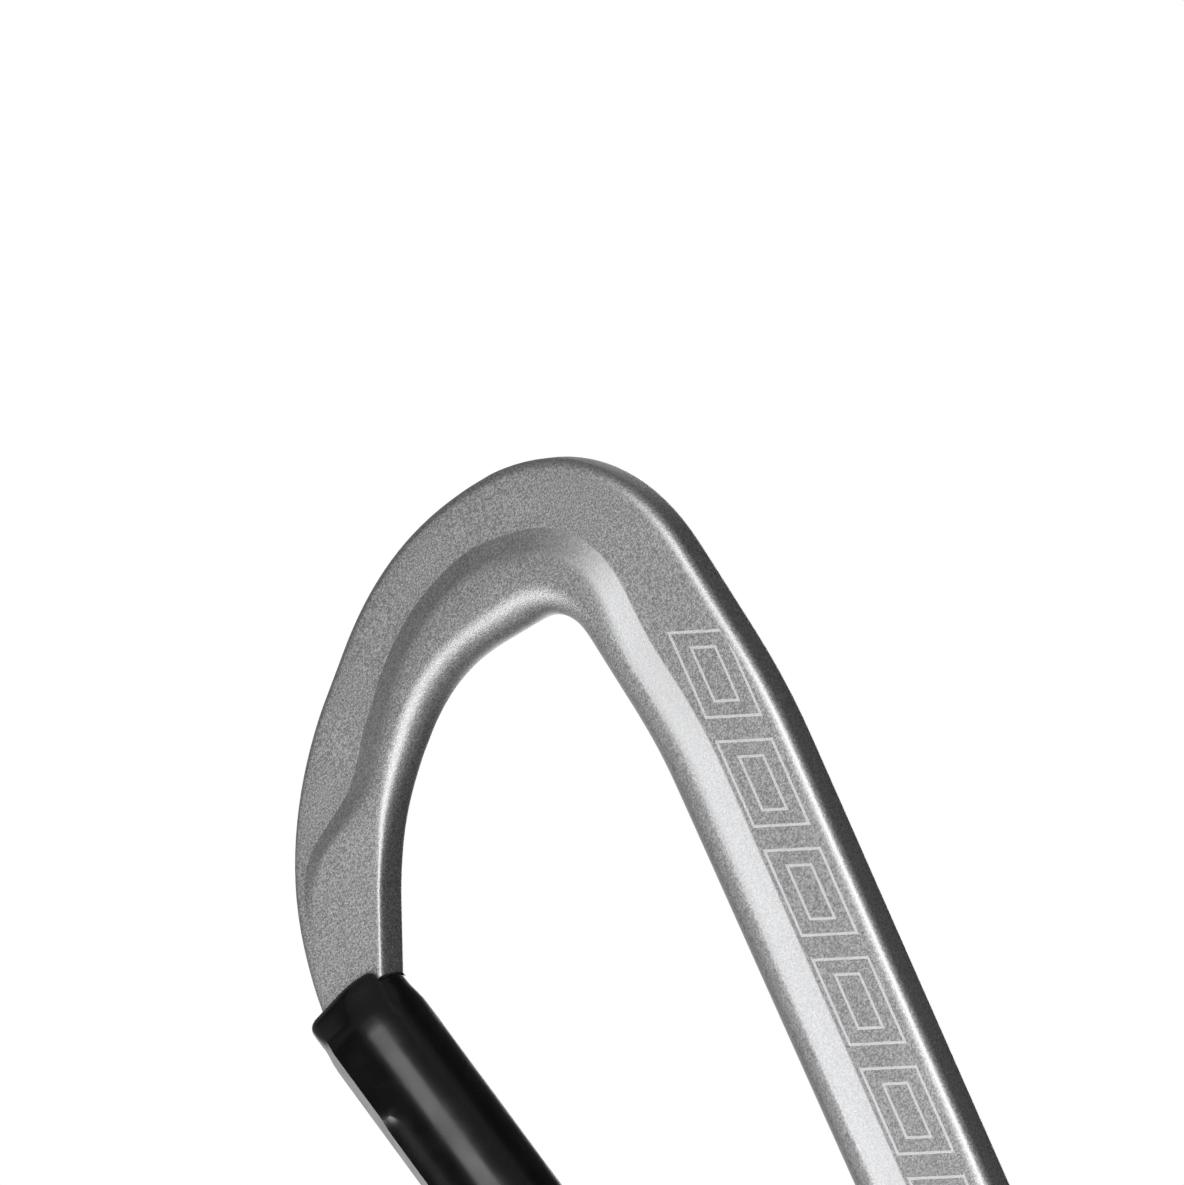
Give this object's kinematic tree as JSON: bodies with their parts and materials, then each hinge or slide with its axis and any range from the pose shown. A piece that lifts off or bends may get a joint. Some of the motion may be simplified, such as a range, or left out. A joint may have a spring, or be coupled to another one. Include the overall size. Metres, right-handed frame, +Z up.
{
  "type": "climbing quickdraw",
  "caption": "Keylock carabiner pair with sprung solid gates, one straight and one bent, joined by a flat sewn sling with bar tacks and a rubber keeper.",
  "frame": {"origin": "inner top of the upper carabiner's bow, in its middle plane, where the gear loop bears", "axes": "+Z up along the hanging draw, +X from the gate to the spine, +Y through the carabiners' thickness"},
  "size_m": [0.0539, 0.0122, 0.2954],
  "materials": {
    "satin_aluminium": "bead-blasted satin",
    "black_anodised": "gloss black anodised",
    "steel": "turned",
    "spring_steel": "drawn wire",
    "webbing": "flat woven",
    "thread": "dense stitching",
    "rubber": "matt",
    "label": "woven, blank"
  },
  "bodies": {
    "bolt_carabiner": {"bolt_frame": "satin_aluminium", "bolt_gate_rivet": "steel"},
    "bolt_gate": {"bolt_gate": "black_anodised", "bolt_gate_spring": "spring_steel"},
    "bolt_plunger": {"bolt_gate_plunger": "steel"},
    "sling": {"sling_webbing": "webbing", "bar_tack_1": "thread", "bar_tack_2": "thread", "bar_tack_3": "thread", "bar_tack_4": "thread", "rubber_keeper": "rubber", "sewn_label": "label"},
    "rope_carabiner": {"rope_frame": "satin_aluminium", "rope_gate_rivet": "steel"},
    "rope_gate": {"rope_gate": "black_anodised", "rope_gate_spring": "spring_steel"},
    "rope_plunger": {"rope_gate_plunger": "steel"}
  },
  "joints": [
    {"name": "bolt_gate_hinge", "type": "hinge", "parent": "bolt_carabiner", "child": "bolt_gate", "pos_m": [-0.01721, 0, -0.0679], "axis": [0, 1, 0], "range_deg": [0, 26], "stiffness_Nm_per_rad": 0.5, "springref_deg": -15.47},
    {"name": "bolt_plunger_slide", "type": "slide", "parent": "bolt_gate", "child": "bolt_plunger", "axis": [-0.2521, 0, 0.9677], "range_m": [0, 0.00087], "deforming": ["bolt_gate_spring"]},
    {"name": "sling_swing", "type": "hinge", "parent": "bolt_carabiner", "child": "sling", "pos_m": [0, 0, -0.0793], "axis": [1, 0, 0], "range_deg": [-120, 120]},
    {"name": "rope_carabiner_swing", "type": "hinge", "parent": "sling", "child": "rope_carabiner", "pos_m": [0, 0, -0.1913], "axis": [1, 0, 0], "range_deg": [-75, 75]},
    {"name": "rope_gate_hinge", "type": "hinge", "parent": "rope_carabiner", "child": "rope_gate", "pos_m": [-0.01721, 0, -0.2027], "axis": [0, -1, 0], "range_deg": [0, 26], "stiffness_Nm_per_rad": 0.5, "springref_deg": -15.47},
    {"name": "rope_plunger_slide", "type": "slide", "parent": "rope_gate", "child": "rope_plunger", "axis": [-0.2521, 0, -0.9677], "range_m": [0, 0.00087], "deforming": ["rope_gate_spring"]}
  ],
  "couplings": [
    {"joint": "bolt_plunger_slide", "follows": "bolt_gate_hinge", "m_per_rad": 0.0019},
    {"joint": "rope_plunger_slide", "follows": "rope_gate_hinge", "m_per_rad": 0.0019}
  ]
}
